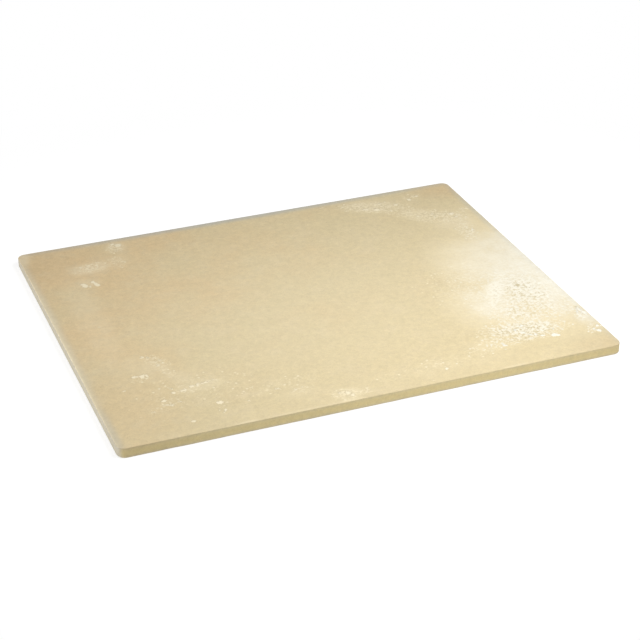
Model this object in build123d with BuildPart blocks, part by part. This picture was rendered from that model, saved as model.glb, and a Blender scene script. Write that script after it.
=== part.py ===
from build123d import *

import os

# A rectangular baking stone: one pressed and fired ceramic slab with eased edges.
# Millimetres, +Z up. The origin is the centre of the underside, and +X runs along the long side.

# Slab
stone_width = 430.0  # long side, along X
stone_depth = 350.0  # short side, along Y
stone_thickness = 9.3
corner_radius = 7.0  # upright corners, seen from above

# Edge roundings
top_arris_radius = 0.4  # around the baking surface
base_arris_radius = 1.5  # around the underside
arris_thickness_share = 0.45  # most of the thickness that one rounding may take
arris_corner_share = 0.8  # most of the corner radius that one rounding may take


def fitted_arris(arris_radius):
    # A rounding stays inside its shares of the slab's thickness and of its corner radius.
    thickness_limit = arris_thickness_share * stone_thickness
    corner_limit = arris_corner_share * corner_radius
    return min(arris_radius, thickness_limit, corner_limit)


with BuildPart() as baking_stone:
    with BuildSketch():
        RectangleRounded(stone_width, stone_depth, corner_radius)
    extrude(amount=stone_thickness)
    level_edges = baking_stone.edges().filter_by(Plane.XY).group_by(Axis.Z)
    fillet(level_edges[-1], radius=fitted_arris(top_arris_radius))
    fillet(level_edges[0], radius=fitted_arris(base_arris_radius))
baking_stone.part.label = "baking_stone"

os.makedirs("parts", exist_ok=True)
export_step(baking_stone.part, "parts/baking_stone.step")
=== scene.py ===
import math

import bpy
import numpy as np
from mathutils import Matrix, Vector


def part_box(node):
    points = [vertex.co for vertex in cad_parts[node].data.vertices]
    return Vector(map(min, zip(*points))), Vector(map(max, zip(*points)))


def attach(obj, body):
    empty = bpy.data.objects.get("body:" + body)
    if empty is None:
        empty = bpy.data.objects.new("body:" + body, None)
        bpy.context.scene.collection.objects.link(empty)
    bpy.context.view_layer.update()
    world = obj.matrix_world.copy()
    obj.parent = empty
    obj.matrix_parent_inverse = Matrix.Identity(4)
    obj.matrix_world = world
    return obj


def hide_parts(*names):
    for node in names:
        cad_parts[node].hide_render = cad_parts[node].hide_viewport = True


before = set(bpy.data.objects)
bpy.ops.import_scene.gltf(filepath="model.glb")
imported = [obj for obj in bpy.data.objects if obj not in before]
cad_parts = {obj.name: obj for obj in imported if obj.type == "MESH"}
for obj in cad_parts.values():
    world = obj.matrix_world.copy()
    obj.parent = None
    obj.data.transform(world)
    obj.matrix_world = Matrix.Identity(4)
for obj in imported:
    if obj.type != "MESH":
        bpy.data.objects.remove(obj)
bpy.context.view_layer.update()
print("stage: frame loaded")


# Camera

cameraSettings = {
    "place": (-0.4613, -1.2561, 0.7209),  # metres from the middle of the underside
    "yaw": 20.74,  # degrees to the right of straight back
    "pitch": 28.75,  # degrees below level
    "roll": -0.64,
    "lens": 98.06,  # millimetres, on a sensor of the width below
    "sensor": 36.0,
}


def makeCamera(s):
    data = bpy.data.cameras.new("camera")
    data.lens = s["lens"]
    data.sensor_width = s["sensor"]
    data.clip_start = 0.01
    data.clip_end = 50.0
    camera = bpy.data.objects.new("camera", data)
    turn = Matrix.Rotation(math.radians(-s["yaw"]), 4, "Z")
    tip = Matrix.Rotation(math.radians(90.0 - s["pitch"]), 4, "X")
    lean = Matrix.Rotation(math.radians(s["roll"]), 4, "Z")
    camera.matrix_world = Matrix.Translation(s["place"]) @ turn @ tip @ lean
    bpy.context.scene.collection.objects.link(camera)
    bpy.context.scene.camera = camera


makeCamera(cameraSettings)
print("stage: camera set")


# Shader maths: a Wire is an output socket, and arithmetic on Wires adds Math nodes


class Wire:
    def __init__(self, graph, socket):
        self.graph = graph
        self.socket = socket

    def __add__(self, other):
        return self.graph.maths("ADD", self, other)

    def __radd__(self, other):
        return self.graph.maths("ADD", other, self)

    def __sub__(self, other):
        return self.graph.maths("SUBTRACT", self, other)

    def __rsub__(self, other):
        return self.graph.maths("SUBTRACT", other, self)

    def __mul__(self, other):
        return self.graph.maths("MULTIPLY", self, other)

    def __rmul__(self, other):
        return self.graph.maths("MULTIPLY", other, self)


class Graph:
    def __init__(self, tree):
        self.tree = tree
        tree.nodes.clear()

    def node(self, kind, settings=None, sockets=None, out=0):
        # settings go on the node first, then each socket gets its value or its link
        made = self.tree.nodes.new(kind)
        for name, value in (settings or {}).items():
            setattr(made, name, value)
        for name, value in (sockets or {}).items():
            if isinstance(value, Wire):
                self.tree.links.new(value.socket, made.inputs[name])
            else:
                made.inputs[name].default_value = value
        return Wire(self, made.outputs[out]) if made.outputs else made

    def maths(self, operation, *values):
        return self.node("ShaderNodeMath", {"operation": operation}, dict(enumerate(values)))

    def ramp(self, value, start, end):
        # 0 at the start and before it, 1 at the end and beyond, smooth between;
        # the start may be the larger
        if start > end:
            return 1 - self.ramp(value, end, start)
        settings = {"interpolation_type": "SMOOTHSTEP"}
        sockets = {"Value": value, "From Min": start, "From Max": end}
        return self.node("ShaderNodeMapRange", settings, sockets)

    def blend(self, factor, first, second):
        # mixes two colours, each an (r, g, b) or a Wire
        settings = {"data_type": "RGBA"}
        ends = [c if isinstance(c, Wire) else (*c, 1.0) for c in (first, second)]
        return self.node("ShaderNodeMix", settings, {0: factor, 6: ends[0], 7: ends[1]}, out=2)

    def moved(self, place, shift):
        return self.node("ShaderNodeVectorMath", {"operation": "ADD"}, {0: place, 1: shift})

    def axes(self, place, names):
        return (self.node("ShaderNodeSeparateXYZ", None, {0: place}, out=name) for name in names)

    def noise(self, place, size, detail, roughness, shift=None):
        # size is the width of one blotch in metres; the shift sets one pattern apart from another
        place = self.moved(place, shift) if shift else place
        sockets = {"Vector": place, "Scale": 1.0 / size, "Detail": detail, "Roughness": roughness}
        return self.node("ShaderNodeTexNoise", {"noise_dimensions": "3D"}, sockets)

    def specks(self, place, size, share, shift, core=0.12, rim=0.28, fade=0.03):
        # small dots, one in each of a share of the cells; size is the cells' width in metres,
        # core and rim a dot's full and faded radius in cells
        sockets = {"Vector": self.moved(place, shift), "Scale": 1.0 / size}
        away = self.node("ShaderNodeTexVoronoi", None, sockets)
        tint = self.node("ShaderNodeTexVoronoi", None, sockets, out="Color")
        pick = self.node("ShaderNodeSeparateColor", None, {0: tint}, out="Red")
        return self.ramp(away, rim, core) * self.ramp(pick, 1.0 - share, 1.0 + fade - share)

    def share(self, name):
        # a value that the mesh carries at its points
        return self.node("ShaderNodeAttribute", {"attribute_name": name}, out="Fac")


def linear(red, green, blue):
    # an 8-bit sRGB colour as the linear values that a shader takes
    shares = np.array([red, green, blue]) / 255.0
    return tuple(np.where(shares <= 0.04045, shares / 12.92, ((shares + 0.055) / 1.055) ** 2.4))


def newMaterial(name):
    material = bpy.data.materials.new(name)
    material.use_nodes = True
    return material, Graph(material.node_tree)


# Baking stone: the shape

stoneShape = {
    "node": "baking_stone",
    "cornerRadius": 0.007,  # upright corners, seen from above
    "topArris": 0.0004,  # radius of the edge round the baking surface
    "baseArris": 0.0015,
    "cells": (208, 170),  # grid cells along X and Y, above and below
    "crowding": 0.5,  # how much the grid lines crowd towards the edges
    "arcSteps": 6,
    "wallSteps": 4,
    "arrisWear": 0.14,  # deepest flattening of an arris, as a share of its radius
    "arrisWaves": 90,  # waves of wear round the whole edge, at most
    "sag": 0.00012,  # height of the faces' slow unevenness
    "sagWave": 0.11,  # its shortest wave
    "sagMargin": 0.014,  # the faces run true within this of the edge
    "seed": 5,
}


def crowdedLine(half, cells, crowding):
    # half (u + crowding sin(pi u) / pi) for u from -1 to 1: the steps shrink towards both ends
    u = np.linspace(-1.0, 1.0, cells + 1)
    return half * (u + crowding * np.sin(np.pi * u) / np.pi)


def roundedGrid(half, radius, inset, s):
    # A flat grid whose corner squares are pulled onto quarter discs:
    # with p and q from 0 to 1 across a corner square, p -> p sqrt(1 - q q / 2) and the same for q.
    # The inset then shrinks the band between the core and the outline.
    x, y = np.meshgrid(*(crowdedLine(half[k], s["cells"][k], s["crowding"]) for k in (0, 1)))
    core = half - radius
    p = np.clip((np.abs(x) - core[0]) / radius, 0.0, 1.0)
    q = np.clip((np.abs(y) - core[1]) / radius, 0.0, 1.0)
    band = radius - inset
    x = np.sign(x) * (np.minimum(np.abs(x), core[0]) + band * p * np.sqrt(1 - q * q / 2))
    y = np.sign(y) * (np.minimum(np.abs(y), core[1]) + band * q * np.sqrt(1 - p * p / 2))
    return x, y


def rimOrder(rows, columns):
    # indices of the grid's outer points, once round anticlockwise
    index = np.arange(rows * columns).reshape(rows, columns)
    return np.concatenate([index[0, :-1], index[:-1, -1], index[-1, :0:-1], index[:0:-1, 0]])


def slowWaves(x, y, wave, rng, count=14, longest=2.6, gain=2):
    # gain times the mean of cosines in random directions, from one to longest waves in length;
    # mostly between -1 and 1
    angle = rng.uniform(0, 2 * np.pi, count)
    length = wave * rng.uniform(1.0, longest, count)
    phase = rng.uniform(0, 2 * np.pi, count)
    run = x[..., None] * np.cos(angle) + y[..., None] * np.sin(angle)
    return np.cos(2 * np.pi * run / length + phase).mean(-1) * gain


def rimWear(share, waves, rng, fewest=3, fall=0.35, swing=0.22):
    # a closed wavy line from 0 to 1 along the rim, share being the way round from 0 to 1:
    # the sum of cosines of fewest to waves turns, each as high as turns ** -fall
    turns = np.arange(fewest, waves)
    phase = rng.uniform(0, 2 * np.pi, len(turns))
    height = turns ** -fall
    line = (np.cos(2 * np.pi * share[:, None] * turns + phase) * height).sum(1)
    return np.clip(0.5 + swing * line / line.std(), 0.0, 1.0)


def fourCorners(*corners):
    # one row of four point indices for each face
    return np.stack(corners, -1).reshape(-1, 4)


def slabSurface(low, high, s):
    # The two faces are rounded grids. Between their rims runs the edge's profile, a quarter arc,
    # an upright wall and a quarter arc, carried round the rim along its outward normals.
    rng = np.random.default_rng(s["seed"])
    half = (high - low)[:2] / 2
    middle = (high + low)[:2] / 2
    faces, rims = [], []
    for arris, level, side in ((s["topArris"], high[2], -1), (s["baseArris"], low[2], 1)):
        x, y = roundedGrid(half, s["cornerRadius"], arris, s)
        edgeDistance = np.minimum(half[0] - np.abs(x), half[1] - np.abs(y)) - arris
        ease = np.clip(edgeDistance / s["sagMargin"], 0.0, 1.0)
        ease = ease * ease * (3 - 2 * ease)
        sag = side * s["sag"] * ease * (0.5 + 0.5 * slowWaves(x, y, s["sagWave"], rng))
        faces.append(np.stack([x, y, level + sag], -1).reshape(-1, 3))
        rims.append(rimOrder(*x.shape))
    rows, columns = x.shape
    topRim, baseRim = faces[0][rims[0], :2], faces[1][rims[1], :2]
    core = half - s["cornerRadius"]
    outward = topRim - np.clip(topRim, -core, core)
    outward /= np.linalg.norm(outward, axis=1)[:, None]

    # the rings from the upper rim to the lower; each arris is flattened most at half its turn
    arc = np.linspace(0, np.pi / 2, s["arcSteps"] + 1)
    top, base = s["topArris"], s["baseArris"]
    wall = np.linspace(high[2] - top, low[2] + base, s["wallSteps"] + 1)[1:-1]
    stride = np.linalg.norm(np.roll(topRim, -1, axis=0) - topRim, axis=1)
    share = np.concatenate([[0.0], np.cumsum(stride)[:-1]]) / stride.sum()
    upperWear = s["arrisWear"] * top * rimWear(share, s["arrisWaves"], rng)
    lowerWear = s["arrisWear"] * base * rimWear(share, s["arrisWaves"], rng)
    rings = []
    for angle in arc[1:]:
        worn = np.sin(2 * angle) * upperWear
        out = topRim + (top * np.sin(angle) - worn)[:, None] * outward
        rings.append(np.column_stack([out, high[2] - top * (1 - np.cos(angle)) - worn]))
    for height in wall:
        rings.append(np.column_stack([topRim + top * outward, np.full(len(topRim), height)]))
    for angle in arc[:-1]:
        worn = np.sin(2 * angle) * lowerWear
        out = baseRim + (base * np.cos(angle) - worn)[:, None] * outward
        rings.append(np.column_stack([out, low[2] + base * (1 - np.sin(angle)) + worn]))

    # points: the upper face, the lower face, then the rings
    rim = rims[0]
    index = np.arange(rows * columns).reshape(rows, columns)
    quad = fourCorners(index[:-1, :-1], index[:-1, 1:], index[1:, 1:], index[1:, :-1])
    ringIndex = 2 * rows * columns + np.arange(len(rings) * len(rim)).reshape(len(rings), len(rim))
    ringIndex = np.concatenate([rim[None], ringIndex, rows * columns + rim[None]])
    following = np.roll(ringIndex, -1, axis=1)
    strip = fourCorners(ringIndex[:-1], ringIndex[1:], following[1:], following[:-1])
    points = np.concatenate([*faces, *rings])
    points[:, :2] += middle
    return points, np.concatenate([quad, rows * columns + quad[:, ::-1], strip])


def meshPiece(name, points, faces):
    mesh = bpy.data.meshes.new(name)
    mesh.vertices.add(len(points))
    mesh.vertices.foreach_set("co", points.astype(np.float32).ravel())
    sides = faces.shape[1]
    mesh.loops.add(faces.size)
    mesh.loops.foreach_set("vertex_index", faces.astype(np.int32).ravel())
    mesh.polygons.add(len(faces))
    mesh.polygons.foreach_set("loop_start", np.arange(0, faces.size, sides, dtype=np.int32))
    mesh.polygons.foreach_set("use_smooth", np.ones(len(faces), dtype=bool))
    mesh.update(calc_edges=True)
    mesh.validate()
    piece = bpy.data.objects.new(name, mesh)
    bpy.context.scene.collection.objects.link(piece)
    return piece


def addShare(piece, name, values):
    layer = piece.data.attributes.new(name, "FLOAT", "POINT")
    layer.data.foreach_set("value", values.astype(np.float32))


# Baking stone: where its tone changes, where light and shade are painted on it, and where flour
# lies on it

toneSettings = {
    "wallFall": 2.1,
    "sideFrom": 0.02,  # share of the thickness, from the underside
    # x, y, half length, half width in millimetres, turn in degrees, strength from 0 to 1
    # painted shade: darker patches on the top where the light falls off, at its corners and
    # towards the left
    "topPaintedShade": [
        (214, -168, 42, 30, 10, 0.72),
        (208, -110, 44, 14, 90, 0.40),
        (208, -124, 20, 14, 90, 0.66),
        (-205, 150, 45, 36, 0, 0.24),
        (-205, -105, 60, 34, 90, 0.16),
        (-165, -146, 70, 40, 0, 0.16),
        (202, 158, 34, 24, 0, 0.24),
    ],
    # painted light: a paler stretch on the right of the top, where the light is strongest
    "topPaintedLight": [(208, 88, 46, 16, 90, 0.30)],
    # painted shade at the left end of the front wall and painted light along its middle, as the
    # light from the front right falls on it
    "wallPaintedShade": [(-205, -175, 48, 40, 0, 0.52)],
    "wallPaintedLight": [(72, -175, 110, 40, 0, 0.40)],
    "rim": [
        (0, 175, 240, 7, 0, 0.90),
        (214, 20, 190, 4.6, 90, 0.50),
        (-214, -150, 50, 5, 90, 0.50),
        (-215, 20, 190, 6, 90, 0.36),
    ],
    "warm": [
        (208, 166, 34, 24, 0, 0.70),
        (-192, -112, 66, 44, 90, 0.50),
        (206, -168, 30, 14, 0, 0.30),
    ],
}

flourSettings = {
    # x, y, half length, half width in millimetres, turn in degrees, density from 0 to 1
    "films": [
        (204, -30, 98, 62, 90, 0.72),
        (204, 27, 42, 44, 90, 0.60),
        (160, -50, 42, 12, 56, 0.86),
        (150, -70, 44, 44, 0, 0.56),
        (208, -122, 20, 13, 90, 0.50),
        (176, 0, 60, 48, 90, 0.64),
        (187, 84, 28, 27, 90, 0.26),
        (157, -114, 34, 22, -8, 0.44),
        (118, -136, 22, 12, 0, 0.20),
        (124, 150, 24, 14, -20, 0.28),
        (164, 112, 22, 13, -40, 0.27),
        (-160, 124, 21, 11, 10, 0.33),
        (-134, 130, 14, 11, 0, 0.16),
        (-126, 158, 9, 10, 0, 0.30),
        (-170, 97, 14, 10, 0, 0.20),
        (-182, 16, 100, 15, 90, 0.16),
        (-168, -60, 24, 14, -50, 0.16),
        (-152, -66, 18, 8, -60, 0.24),
        (-140, -90, 18, 10, -48, 0.13),
        (-129, -109, 20, 7, 0, 0.28),
        (-24, -164, 13, 9, 0, 0.28),
        (-60, -148, 24, 9, 0, 0.10),
        # painted highlight on the upper edge, laid on as pale film in two strips along the left
        # edge
        (-216, 40, 165, 5.4, 90, 0.40),
        (-215, 10, 176, 1.8, 90, 0.72),
        (-211, 165, 16, 6, 80, 0.42),
        (30, -156, 120, 14, 0, 0.05),
        # painted highlight on the upper edge, laid on as pale film along the front edge
        (-111, -174.5, 10, 1.8, 0, 0.40),
        (-66, -174, 46, 1.3, 0, 0.18),
        (-27, -174, 11, 2, 0, 0.36),
        (118, -174, 11, 1.6, 0, 0.26),
        (0, -10, 160, 118, 0, 0.12),
    ],
    "dustings": [
        (182, -62, 42, 27, 84, 0.64),
        (162, -52, 42, 14, 56, 0.50),
        (172, -90, 34, 24, 10, 0.60),
        (150, -122, 34, 13, -8, 0.96),
        (148, -134, 30, 8, 0, 0.70),
        (128, -130, 20, 13, 0, 0.46),
        (164, -102, 26, 14, 0, 0.40),
        (104, -140, 20, 12, 0, 0.18),
        (206, -142, 9, 6, 60, 0.52),
        (207, -114, 13, 6, 90, 0.38),
        (126, 148, 32, 11, -20, 0.58),
        (148, 132, 20, 13, -40, 0.44),
        (172, 108, 24, 13, -30, 0.60),
        (170, 156, 9, 6, 0, 0.42),
        (192, 100, 12, 10, 0, 0.52),
        (205, 112, 6, 5, 0, 0.42),
        (188, 70, 20, 9, 80, 0.42),
        (-151, -57, 12, 7, -50, 0.56),
        (-146, -80, 14, 6, -60, 0.18),
        (-138, -108.5, 12, 1.8, 16, 0.48),
        (-121, -105.5, 12, 1.7, -4, 0.42),
        (-138, -113, 14, 6, 0, 0.20),
        (-161, -127, 17, 5, 12, 0.30),
        (-138, -116, 62, 36, 10, 0.14),
        (-172, -82, 10, 6, 0, 0.22),
        (-157, 126, 19, 9, 12, 0.46),
        (-127, 156, 8, 10, 0, 0.50),
        (-133, 128, 10, 12, 0, 0.26),
        (-26, -163, 11, 8, 0, 0.60),
        (-11, -165, 7, 5, 0, 0.44),
        (-56, -144, 12, 6, 0, 0.20),
        (-70, -130, 46, 12, 8, 0.16),
        (58, -148, 72, 13, 5, 0.14),
        (0, -10, 150, 108, 0, 0.05),
        (140, -30, 52, 46, 0, 0.16),
    ],
    # x, y, radius in millimetres, density
    "crumbs": [
        (-173, 96.5, 2.4, 0.96),
        (-171.6, 92.6, 3.0, 1.00),
        (-167.4, 90.6, 1.8, 0.66),
        (-163.4, 98, 2.3, 1.00),
        (-162, 94.5, 1.8, 0.84),
        (-160.8, 91, 2.6, 1.05),
        (-167, 97, 1.7, 0.40),
        (-123.5, 161, 3.2, 1.10),
        (-128, 165, 2.6, 0.80),
        (-119, 154, 1.7, 0.50),
        (-132, 158, 1.9, 0.50),
        (-128, 150, 1.9, 0.44),
        (-179, 15, 2.4, 0.50),
        (-167, 12, 2.6, 0.44),
        (-160, -48, 3.0, 0.62),
        (-155.5, -49.5, 2.4, 0.66),
        (-148, -57, 2.4, 0.52),
        (-151, -65, 2.6, 0.52),
        (-175, -76, 2.4, 0.78),
        (-171.9, -76.8, 1.4, 0.94),
        (-168.7, -77.6, 2.1, 1.34),
        (-164.9, -77.6, 1.7, 1.24),
        (-188, -94, 1.6, 0.84),
        (-148, -86.5, 2.2, 0.50),
        (-144.7, -87.8, 1.8, 0.46),
        (-161, -77, 2.2, 0.45),
        (-154, -102, 2.4, 0.50),
        (-151.5, -104.5, 2.2, 0.46),
        (-145.7, -110.6, 1.6, 0.76),
        (-142.6, -110.6, 2.0, 1.06),
        (-136, -107.5, 2.4, 0.85),
        (-131, -106.4, 2.4, 0.86),
        (-127.1, -105, 1.8, 0.90),
        (-123, -105.2, 2.0, 0.90),
        (-117.4, -103.4, 1.8, 0.74),
        (-152.3, -111.5, 2.2, 0.94),
        (-162.7, -120.3, 2.2, 1.10),
        (-175, -133.5, 2.6, 0.52),
        (-177.6, -112.7, 1.8, 0.44),
        (-151.3, -125.8, 2.8, 0.62),
        (-163.2, -127.4, 2.2, 0.54),
        (-158.5, -127.6, 2.6, 0.56),
        (-166.7, -128.4, 2.0, 0.46),
        (-122.5, -138.5, 3.4, 0.84),
        (-126, -150, 1.7, 0.62),
        (-121.5, -150.5, 2.0, 0.76),
        (-124, -154, 1.6, 0.55),
        (-150, -157.5, 2.2, 0.80),
        (-100, -145, 2.4, 0.48),
        (-92.5, -127, 3.2, 0.50),
        (-73.5, -136, 2.5, 0.64),
        (-60, -142, 2.0, 0.60),
        (-59.5, -145.5, 1.8, 0.52),
        (-54, -141, 2.0, 0.58),
        (-24, -162, 2.8, 0.80),
        (-22, -167, 2.2, 0.76),
        (-30, -160, 2.0, 0.64),
        (15, -147, 2.0, 0.44),
        (46, -170.5, 2.4, 0.56),
        (64, -157, 3.0, 0.60),
        (76, -156, 2.2, 0.50),
        (91, -142, 2.6, 0.46),
        (124, -140, 3.4, 0.64),
        (121, -146, 2.4, 0.50),
        (143, -121, 2.2, 0.66),
        (147.5, -127, 2.7, 0.70),
        (152, -116, 2.6, 0.76),
        (151, -132, 2.4, 0.68),
        (156, -134, 2.6, 0.68),
        (161, -137.5, 2.8, 0.72),
        (166, -131, 1.8, 0.62),
        (170, -140, 3.4, 0.80),
        (173, -142, 2.6, 0.76),
        (174, -131, 1.8, 0.70),
        (211, -108, 4.4, 0.52),
        (211, -114.5, 4.2, 0.60),
        (207, -112, 3.0, 0.54),
        (208, -147.5, 2.8, 0.80),
        (205, -143, 2.0, 0.62),
        (211, -139, 2.4, 0.70),
        (197, -134, 3.0, 0.36),
        (203, 14, 2.4, 0.40),
        (193.5, 69, 1.9, 0.74),
        (192, 65, 1.8, 0.66),
        (178, 86, 2.0, 0.56),
        (184, 85, 1.9, 0.50),
        (190, 106, 2.6, 0.96),
        (191, 99, 2.2, 0.80),
        (127, 141, 3.0, 1.10),
        (118, 146, 2.6, 0.86),
        (134, 153, 2.2, 0.76),
        (149, 145, 2.4, 0.92),
        (165, 151, 2.4, 0.84),
        (175, 156, 1.9, 0.66),
        (139, 135, 2.0, 0.76),
        (158, 114, 2.0, 0.76),
        (173, 113, 1.9, 0.72),
        (173, 107, 1.8, 0.72),
        (204, 113, 1.7, 0.70),
        (102, 164, 2.0, 0.74),
        (188, 49, 1.7, 0.66),
        (141, 154, 2.2, 0.50),
        (80, 165, 2.4, 0.46),
    ],
    # where the heap has a gap down to shaded stone
    "holes": [
        (182, -48, 3.0, 0.84),
        (181, -50.5, 2.2, 0.60),
        (186, -74, 2.4, 0.70),
        (184, -86, 2.0, 0.48),
        (204, -38, 3.0, 0.42),
        (209.5, -103, 2.8, 0.54),
        (176, -39, 2.0, 0.44),
        (190, -58, 2.0, 0.46),
        (171, -60, 2.0, 0.46),
        (200, -77, 2.8, 0.40),
        (157, -91, 2.4, 0.46),
        (136, -116, 2.2, 0.50),
        (144, -133, 2.0, 0.50),
        (166, -136, 2.0, 0.50),
        (178, -134, 2.2, 0.42),
    ],
}


def patchShares(points, patches, power=3):
    # the highest of exp(-d ** power) over the patches,
    # d being the distance in a patch's own half sizes
    shares = np.zeros(len(points))
    for x, y, long, wide, turn, most in patches:
        angle = math.radians(turn)
        away = points[:, :2] * 1000.0 - (x, y)
        along = (away @ (math.cos(angle), math.sin(angle))) / long
        across = (away @ (-math.sin(angle), math.cos(angle))) / wide
        shares = np.maximum(shares, most * np.exp(-np.hypot(along, across) ** power))
    return shares


def roundShares(points, spots):
    return patchShares(points, [(x, y, radius, radius, 0, most) for x, y, radius, most in spots])


# Baking stone: fired ceramic under flour

ceramicSettings = {
    "sand": linear(227, 211, 170),
    "pale": linear(233, 217, 181),
    "warm": linear(231, 205, 160),
    "edge": linear(229, 211, 153),  # the walls
    # the left wall's cool grey is a painted reflection of the white surroundings
    "reflectedWhiteEdge": linear(208, 203, 188),  # the left wall
    "rim": linear(186, 192, 190),  # grey lines along the upper edge
    "foot": linear(212, 214, 200),  # low on the walls
    "grog": linear(168, 140, 98),
    "grit": linear(240, 228, 198),
    "roughness": 0.86,
    "grainRoughness": 0.08,
    "shine": 0.30,
    # noises: width of one blotch in metres, detail, roughness, shift of the pattern
    "cloud": (0.075, 3.0, 0.55),
    "mottle": (0.016, 4.0, 0.7, (3.1, 1.7, 0.4)),
    "blotch": (0.0042, 3.0, 0.65, (8.2, 2.9, 5.1)),
    "grain": (0.0011, 3.0, 0.65),
    "dimple": (0.004, 2.0, 0.5),
    # specks: width of one cell in metres, share of the cells with a speck, shift of the pattern
    "grogSpecks": (0.0024, 0.24, (0.7, 0.2, 0.9)),
    "gritSpecks": (0.0017, 0.28, (5.3, 4.1, 2.2)),
    # how much of a colour goes over the one before it
    "paleShare": 0.45,
    "edgeShare": 0.80,
    "reflectedWhiteShare": 0.85,
    "rimShare": 0.76,
    "footShare": 0.26,
    "grainShare": 0.16,
    "gritShare": 0.14,
    "grogShare": 0.18,
    # what makes a place warmer: the cloud, then metres to the left and to the back
    "warmthLean": (0.9, 1.3, 1.1),
    # where a thing starts and where it is in full
    "warmRange": (0.35, 1.0),
    "paleRange": (0.42, 0.78),
    "grainRange": (0.30, 0.72),
    "leftRange": (-0.2105, -0.2145),  # metres along X
    "footRange": (0.0030, 0.0010),  # metres above the underside
    # painted shade on the walls just under the upper edge, between these heights
    "shadeUnderEdgeRange": (0.0070, 0.0084),
    # painted light added where the pale share is 1, painted shade taken away where the darker
    # share is 1, and the lightness swung by the blotches
    "toneDepth": 0.16,
    "blotchDepth": 0.30,
    # strength of the painted shade just under the upper edge
    "shadeUnderEdgeDepth": 0.6,
    # heights of the relief in metres
    "grainHeight": 0.00005,
    "dimpleHeight": 0.00006,
    "speckHeight": 0.00003,
}

powderSettings = {
    # white flour, for where the painted highlight falls; the cream flour below is its colour
    # elsewhere
    "flour": linear(252, 248, 233),
    "creamFlour": linear(255, 242, 209),
    "gap": linear(168, 160, 132),  # stone in the shade between heaped grains
    "roughness": 0.06,  # more than the stone's
    # noises: width of one blotch in metres, detail, roughness, shift of the pattern
    "drift": (0.014, 4.0, 0.62, (1.9, 7.7, 0.0)),
    "coarse": (0.0032, 2.0, 0.6, (4.4, 0.3, 2.0)),
    "fine": (0.0017, 2.0, 0.6, (0.6, 3.3, 1.0)),
    "strays": (0.0050, 0.44, (2.6, 6.1, 3.3)),  # specks: cell width, share, shift
    "mix": (0.55, 0.45),  # coarse and fine grain in the mixed one
    "film": (0.1, 0.9, 0.9),  # a film's cover: plain, by drift and by mixed grain
    "driftFloor": 0.5,
    "coarseCover": 0.56,
    "fineCover": 0.46,
    "gapCover": 0.7,  # how much of the powder a gap takes away
    "gapShade": 0.45,
    "gapLevel": 0.8,
    "strayLevel": 0.8,
    "lumpShare": 0.95,
    "grainSpread": 0.13,  # how much a thicker dusting widens its grains
    "crumbGrain": 2.0,  # a lump is where this much of the mixed grain
    "crumbDensity": 1.3,  # and this much of a crumb's density pass the lump range
    # where a thing starts and where it is in full
    "grainStart": (0.05, 0.21),
    "grainRange": (0.55, 0.73),
    "holeRange": (0.84, 1.24),
    "gapRange": (0.51, 0.38),
    "gapStart": (0.30, 0.85),
    "strayStart": (0.04, 0.12),
    "lumpRange": (1.44, 1.72),
    # the flour turns from cream to white to the right and to the front, where it lies thick: a
    # painted highlight of the strong light on that side
    "flourHighlightTurn": 0.6,
    "flourHighlightRange": (0.10, 0.22),  # metres
    "flourHighlightLumps": 0.5,
    "flourHighlightCover": (0.20, 0.60),
    # heights of the relief in metres
    "coarseHeight": 0.00018,
    "fineHeight": 0.00008,
    "lumpHeight": 0.0004,
    "gapDepth": 0.00014,
}


def stoneColour(g, place, s):
    cloud, mottle, blotch = (g.noise(place, *s[name]) for name in ("cloud", "mottle", "blotch"))
    across, along, level = g.axes(place, "XYZ")
    byCloud, byLeft, byBack = s["warmthLean"]
    warmthLean = cloud * byCloud - byLeft * across + byBack * along
    warmth = g.maths("MAXIMUM", g.ramp(warmthLean, *s["warmRange"]), g.share("warm"))
    colour = g.blend(warmth, s["sand"], s["warm"])
    colour = g.blend(g.ramp(mottle, *s["paleRange"]) * s["paleShare"], colour, s["pale"])
    colour = g.blend(g.share("wall") * s["edgeShare"], colour, s["edge"])
    side = g.share("side")
    # the left wall gets the painted reflection of the white surroundings
    leftSide = side * g.ramp(across, *s["leftRange"])
    colour = g.blend(leftSide * s["reflectedWhiteShare"], colour, s["reflectedWhiteEdge"])
    colour = g.blend(g.share("rim") * s["rimShare"], colour, s["rim"])
    foot = side * g.ramp(level, *s["footRange"])
    colour = g.blend(foot * s["footShare"], colour, s["foot"])
    # painted shade: a darker band at the top of the walls, just under the upper edge, kept off the
    # left wall
    shadeUnderEdge = side * (1 - leftSide) * g.ramp(level, *s["shadeUnderEdgeRange"])
    # painted shade: the darker patches and the band just under the upper edge; painted light: the
    # pale patches
    paintedShade = g.share("paintedShade") + s["shadeUnderEdgeDepth"] * shadeUnderEdge
    tone = s["toneDepth"] * (g.share("pale") - paintedShade)
    light = 1 + tone + s["blotchDepth"] * (blotch - 0.5)
    grey = g.node("ShaderNodeCombineColor", None, {0: light, 1: light, 2: light})
    return g.node("ShaderNodeVectorMath", {"operation": "MULTIPLY"}, {0: colour, 1: grey})


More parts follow.
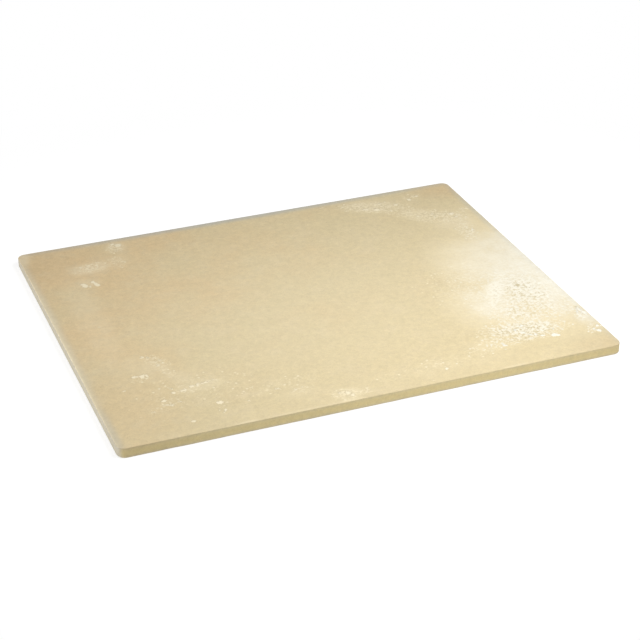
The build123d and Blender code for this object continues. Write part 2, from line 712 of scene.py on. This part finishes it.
def flourCover(g, place, s):
    # how much of the stone the powder hides, then the gaps between its grains, its lumps
    # and its relief
    drift, coarse, fine = (g.noise(place, *s[name]) for name in ("drift", "coarse", "fine"))
    coarseMix, fineMix = s["mix"]
    mixed = coarseMix * coarse + fineMix * fine
    plain, byDrift, byGrain = s["film"]
    film = g.share("film") * (plain + byDrift * drift + byGrain * mixed)
    spread = g.maths("MINIMUM", g.share("dusting") * (s["driftFloor"] + drift), 1.0)
    some = g.ramp(spread, *s["grainStart"])
    wider = s["grainSpread"] * spread
    coarseGrains = g.ramp(coarse + wider, *s["grainRange"]) * some
    fineGrains = g.ramp(fine + wider, *s["grainRange"]) * some
    holes = g.ramp(mixed + g.share("holes"), *s["holeRange"])
    shaded = g.ramp(mixed, *s["gapRange"]) * g.ramp(spread, *s["gapStart"]) * s["gapLevel"]
    gaps = g.maths("MAXIMUM", shaded, holes)
    strays = g.specks(place, *s["strays"]) * g.ramp(spread, *s["strayStart"])
    crumbs = s["crumbGrain"] * mixed + s["crumbDensity"] * g.share("crumbs")
    lumps = g.maths("MAXIMUM", g.ramp(crumbs, *s["lumpRange"]), strays * s["strayLevel"])
    grains = (1 - s["coarseCover"] * coarseGrains) * (1 - s["fineCover"] * fineGrains)
    powder = (1 - (1 - film) * grains) * (1 - gaps * s["gapCover"])
    relief = coarseGrains * s["coarseHeight"] + fineGrains * s["fineHeight"]
    relief = relief + lumps * lumps * s["lumpHeight"] - gaps * s["gapDepth"]
    onTop = g.share("onTop")
    return tuple(value * onTop for value in (powder, gaps, lumps, relief))


def flourTone(g, place, powder, lumps, s):
    across, along = g.axes(place, "XY")
    thick = g.ramp(powder + s["flourHighlightLumps"] * lumps, *s["flourHighlightCover"])
    # painted highlight: thick flour turns white towards the right and the front
    flourHighlight = g.ramp(across - s["flourHighlightTurn"] * along, *s["flourHighlightRange"]) * thick
    return g.blend(flourHighlight, s["creamFlour"], s["flour"])


def makeCeramic(s, flour):
    material, g = newMaterial("firedCeramic")
    place = g.node("ShaderNodeTexCoord", out="Object")
    grain, dimple = (g.noise(place, *s[name]) for name in ("grain", "dimple"))
    grog, grit = (g.specks(place, *s[name]) for name in ("grogSpecks", "gritSpecks"))
    colour = stoneColour(g, place, s)
    colour = g.blend(g.ramp(grain, *s["grainRange"]) * s["grainShare"], colour, s["grog"])
    colour = g.blend(grit * s["gritShare"], colour, s["grit"])
    colour = g.blend(grog * s["grogShare"], colour, s["grog"])
    powder, gaps, lumps, relief = flourCover(g, place, flour)
    tone = flourTone(g, place, powder, lumps, flour)
    colour = g.blend(powder, colour, tone)
    colour = g.blend(gaps * flour["gapShade"], colour, flour["gap"])
    colour = g.blend(lumps * flour["lumpShare"], colour, tone)

    height = grain * s["grainHeight"] + dimple * s["dimpleHeight"]
    height = height + (grit - grog) * s["speckHeight"] + relief
    bump = g.node("ShaderNodeBump", None, {"Strength": 1.0, "Distance": 1.0, "Height": height})
    roughness = s["roughness"] + s["grainRoughness"] * grain + flour["roughness"] * powder
    shader = g.node(
        "ShaderNodeBsdfPrincipled",
        None,
        {
            "Base Color": colour,
            "Roughness": roughness,
            "Specular IOR Level": s["shine"],
            "Normal": bump,
        },
    )
    g.node("ShaderNodeOutputMaterial", None, {"Surface": shader})
    return material


def makeStone():
    low, high = (np.array(corner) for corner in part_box(stoneShape["node"]))
    points, faces = slabSurface(low, high, stoneShape)
    piece = meshPiece("bakingStone", points, faces)
    onTop = points[:, 2] > high[2] - stoneShape["topArris"] / 2
    addShare(piece, "onTop", onTop)
    # shares of painted shade and painted light, from the patches on the top and on the walls
    for name, top, wall in (("paintedShade", "topPaintedShade", "wallPaintedShade"), ("pale", "topPaintedLight", "wallPaintedLight")):
        tops, walls = (patchShares(points, toneSettings[patches]) for patches in (top, wall))
        addShare(piece, name, np.where(onTop, tops, walls))
    addShare(piece, "rim", onTop * patchShares(points, toneSettings["rim"]))
    addShare(piece, "warm", patchShares(points, toneSettings["warm"]))
    addShare(piece, "film", patchShares(points, flourSettings["films"]))
    addShare(piece, "dusting", patchShares(points, flourSettings["dustings"]))
    addShare(piece, "crumbs", roundShares(points, flourSettings["crumbs"]))
    addShare(piece, "holes", roundShares(points, flourSettings["holes"]))
    # the wall's tone is 1 half way up and falls to 0 just short of both faces
    rise = (points[:, 2] - low[2]) / (high[2] - low[2])
    fall = np.abs(rise - 0.5) * toneSettings["wallFall"]
    addShare(piece, "wall", np.sqrt(np.clip(1 - fall, 0.0, 1.0)))
    addShare(piece, "side", (rise > toneSettings["sideFrom"]) & ~onTop)
    piece.data.materials.append(makeCeramic(ceramicSettings, powderSettings))
    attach(piece, "root")
    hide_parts(stoneShape["node"])


makeStone()
print("stage: baking stone made")


# Floor, lamps and surroundings

studio = {
    "floorHalf": 12.0,  # metres
    "floorColour": 0.80,  # what it throws back onto the stone
    "floorSeen": 0.42,  # how strongly the camera sees light and shadow on it
    "floorLift": 0.76,  # the rest of what the camera sees, plain white light
    "fadeFrom": 0.29,  # metres from the middle, where the floor starts turning plain white
    "fadeTo": 0.52,
    "ambient": 0.30,  # the surroundings' light on the stone; the camera sees them white
    "lamps": [
        # name, azimuth from +Y towards +X and elevation in degrees,
        # distance, width and height in metres, watts
        ("keyLamp", 145.0, 60.0, 0.70, 0.40, 0.40, 3.70),
        ("fillLamp", -95.0, 9.0, 1.40, 0.80, 0.30, 8.00),
    ],
}


def makeFloor(s):
    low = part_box(stoneShape["node"])[0]
    edge = s["floorHalf"]
    corners = np.array([(-edge, -edge), (edge, -edge), (edge, edge), (-edge, edge)])
    points = np.column_stack([corners, np.full(4, low[2])])
    floor = meshPiece("floor", points, np.array([[0, 1, 2, 3]]))
    material, g = newMaterial("paleFloor")
    seen = g.node("ShaderNodeLightPath", out="Is Camera Ray")
    place = g.node("ShaderNodeTexCoord", out="Object")
    away = g.node("ShaderNodeVectorMath", {"operation": "LENGTH"}, {0: place}, out="Value")
    far = g.ramp(away, s["fadeFrom"], s["fadeTo"])
    tone = s["floorColour"]
    thrown = g.node("ShaderNodeBsdfDiffuse", None, {"Color": (tone, tone, tone, 1.0)})
    tone = s["floorSeen"]
    shown = g.node("ShaderNodeBsdfDiffuse", None, {"Color": (tone, tone, tone, 1.0)})
    lift = g.node("ShaderNodeEmission", None, {"Strength": s["floorLift"]})
    near = g.node("ShaderNodeAddShader", None, {0: shown, 1: lift})
    white = g.node("ShaderNodeEmission", None, {"Strength": 1.0})
    picture = g.node("ShaderNodeMixShader", None, {0: far, 1: near, 2: white})
    surface = g.node("ShaderNodeMixShader", None, {0: seen, 1: thrown, 2: picture})
    g.node("ShaderNodeOutputMaterial", None, {"Surface": surface})
    floor.data.materials.append(material)


def makeLamp(name, azimuth, elevation, distance, width, height, watts):
    data = bpy.data.lights.new(name, "AREA")
    data.shape = "RECTANGLE"
    data.size = width
    data.size_y = height
    data.energy = watts
    lamp = bpy.data.objects.new(name, data)
    turn, rise = math.radians(azimuth), math.radians(elevation)
    level = math.cos(rise)
    place = np.array([level * math.sin(turn), level * math.cos(turn), math.sin(rise)])
    facing = Matrix.Rotation(math.pi - turn, 4, "Z") @ Matrix.Rotation(math.pi / 2 - rise, 4, "X")
    lamp.matrix_world = Matrix.Translation(distance * place) @ facing
    lamp.visible_camera = False
    bpy.context.scene.collection.objects.link(lamp)


def makeWorld(s):
    world = bpy.data.worlds.new("studio")
    world.use_nodes = True
    bpy.context.scene.world = world
    g = Graph(world.node_tree)
    seen = g.node("ShaderNodeLightPath", out="Is Camera Ray")
    gloss = g.node("ShaderNodeLightPath", out="Is Glossy Ray")
    through = g.node("ShaderNodeLightPath", out="Is Transmission Ray")
    backdrop = g.maths("MAXIMUM", g.maths("MAXIMUM", seen, gloss), through)
    strength = s["ambient"] + (1 - s["ambient"]) * backdrop
    sockets = {"Color": (1.0, 1.0, 1.0, 1.0), "Strength": strength}
    background = g.node("ShaderNodeBackground", None, sockets)
    g.node("ShaderNodeOutputWorld", None, {"Surface": background})


makeFloor(studio)
for lampSettings in studio["lamps"]:
    makeLamp(*lampSettings)
makeWorld(studio)
bpy.context.scene.view_settings.view_transform = "Standard"
print("stage: floor and lamps set")
